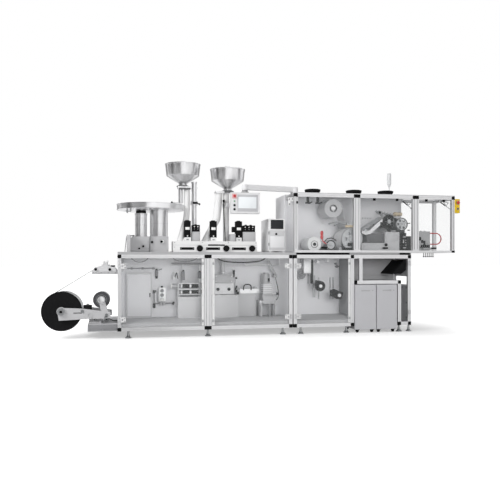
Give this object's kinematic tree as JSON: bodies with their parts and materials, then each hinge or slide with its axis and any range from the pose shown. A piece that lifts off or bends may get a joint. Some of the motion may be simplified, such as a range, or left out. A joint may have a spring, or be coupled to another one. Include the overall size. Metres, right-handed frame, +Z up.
{
  "type": "blister packing machine",
  "caption": "Blister packing machine with film unwind, tablet hoppers, guarded sealing and cutting section, glazed base doors and collecting trolleys",
  "frame": {"origin": "on the floor, at the middle of the machine's footprint", "axes": "+X along the film from the unwind to the outfeed, +Y to the closed back, +Z up"},
  "size_m": [4.8809, 0.91, 2.034],
  "materials": {
    "anodised": "satin",
    "black_plastic": "moulded",
    "sheet_grey": "satin",
    "table_steel": "brushed",
    "foot_steel": "plated",
    "white_plastic": "moulded",
    "clear": "clear acrylic",
    "machine_grey": "satin",
    "film_white": "film",
    "flange_black": "satin",
    "dark_grey": "satin",
    "roller_steel": "ground",
    "film_clear": "film",
    "foil": "foil",
    "stainless": "polished",
    "white_enamel": "gloss",
    "motor_black": "satin",
    "boom_grey": "satin",
    "lamp_white": "translucent",
    "die_black": "blackened",
    "hose_red": "smooth",
    "stop_yellow": "moulded",
    "chute_black": "satin",
    "trolley_grey": "textured",
    "rubber_black": "matt",
    "unit_metal": "machined"
  },
  "bodies": {
    "machine": {"frame_posts": "anodised", "frame_rails": "anodised", "corner_blocks": "black_plastic", "floor_trays": "sheet_grey", "housing_panels": "sheet_grey", "table_plate": "table_steel", "levelling_feet": "foot_steel", "hinge_plates": "white_plastic", "unwind_stand": "machine_grey", "splice_table": "machine_grey", "web_rollers": "roller_steel", "film_web": "film_clear", "foil_web": "foil", "feeder_pan": "stainless", "feeder_columns": "stainless", "feeder_housings": "machine_grey", "hopper_left": "stainless", "hopper_right": "stainless", "hopper_lids": "stainless", "hopper_stands": "stainless", "feed_chutes": "white_plastic", "brush_feeder": "white_enamel", "feeder_knobs": "black_plastic", "feeder_motors": "motor_black", "inspection_cabinet": "sheet_grey", "rear_cabinet": "sheet_grey", "guard_panes": "clear", "guard_roof": "sheet_grey", "roof_vents": "black_plastic", "signal_lamp": "lamp_white", "sealing_drum": "roller_steel", "press_housings": "machine_grey", "die_set": "die_black", "air_hose": "hose_red", "stop_station": "stop_yellow", "outfeed_chute": "chute_black", "trolleys": "trolley_grey", "trolley_casters": "rubber_black", "dancer_arms": "die_black", "dancer_guides": "roller_steel", "drive_cabinets": "machine_grey", "drive_units": "unit_metal"},
    "door_left": {"door_left_pane": "clear", "door_left_trim": "white_plastic"},
    "door_middle": {"door_middle_pane": "clear", "door_middle_trim": "white_plastic"},
    "door_right": {"door_right_pane": "clear", "door_right_trim": "white_plastic"},
    "film_reel": {"film_roll": "film_white", "film_flanges": "flange_black"},
    "splice_reel": {"splice_reel": "dark_grey"},
    "foil_reel": {"foil_roll": "foil"},
    "lid_reel": {"lid_roll": "film_white"},
    "boom": {"panel_boom": "boom_grey"},
    "panel": {"operator_panel": "boom_grey"}
  },
  "joints": [
    {"name": "door_left_hinge", "type": "hinge", "parent": "machine", "child": "door_left", "pos_m": [-1.5935, -0.437, 0.496], "axis": [0, 0, -1], "range_deg": [0, 100]},
    {"name": "door_middle_hinge", "type": "hinge", "parent": "machine", "child": "door_middle", "pos_m": [0.2865, -0.437, 0.496], "axis": [0, 0, 1], "range_deg": [0, 90]},
    {"name": "door_right_hinge", "type": "hinge", "parent": "machine", "child": "door_right", "pos_m": [0.3865, -0.437, 0.496], "axis": [0, 0, -1], "range_deg": [0, 90]},
    {"name": "film_spin", "type": "hinge", "parent": "machine", "child": "film_reel", "pos_m": [-2.2265, -0.225, 0.301], "axis": [0, 1, 0], "continuous": true},
    {"name": "splice_spin", "type": "hinge", "parent": "machine", "child": "splice_reel", "pos_m": [-1.8095, -0.285, 0.422], "axis": [0, 1, 0], "continuous": true},
    {"name": "foil_spin", "type": "hinge", "parent": "machine", "child": "foil_reel", "pos_m": [0.8455, -0.225, 1.466], "axis": [0, 1, 0], "continuous": true},
    {"name": "lid_spin", "type": "hinge", "parent": "machine", "child": "lid_reel", "pos_m": [0.6125, -0.225, 1.041], "axis": [0, 1, 0], "continuous": true},
    {"name": "boom_swing", "type": "hinge", "parent": "machine", "child": "boom", "pos_m": [0.3925, -0.275, 1.68], "axis": [0, 0, 1], "range_deg": [0, 75]},
    {"name": "panel_swivel", "type": "hinge", "parent": "boom", "child": "panel", "pos_m": [-0.2245, -0.403, 1.6], "axis": [0, 0, 1], "range_deg": [-40, 40]}
  ]
}
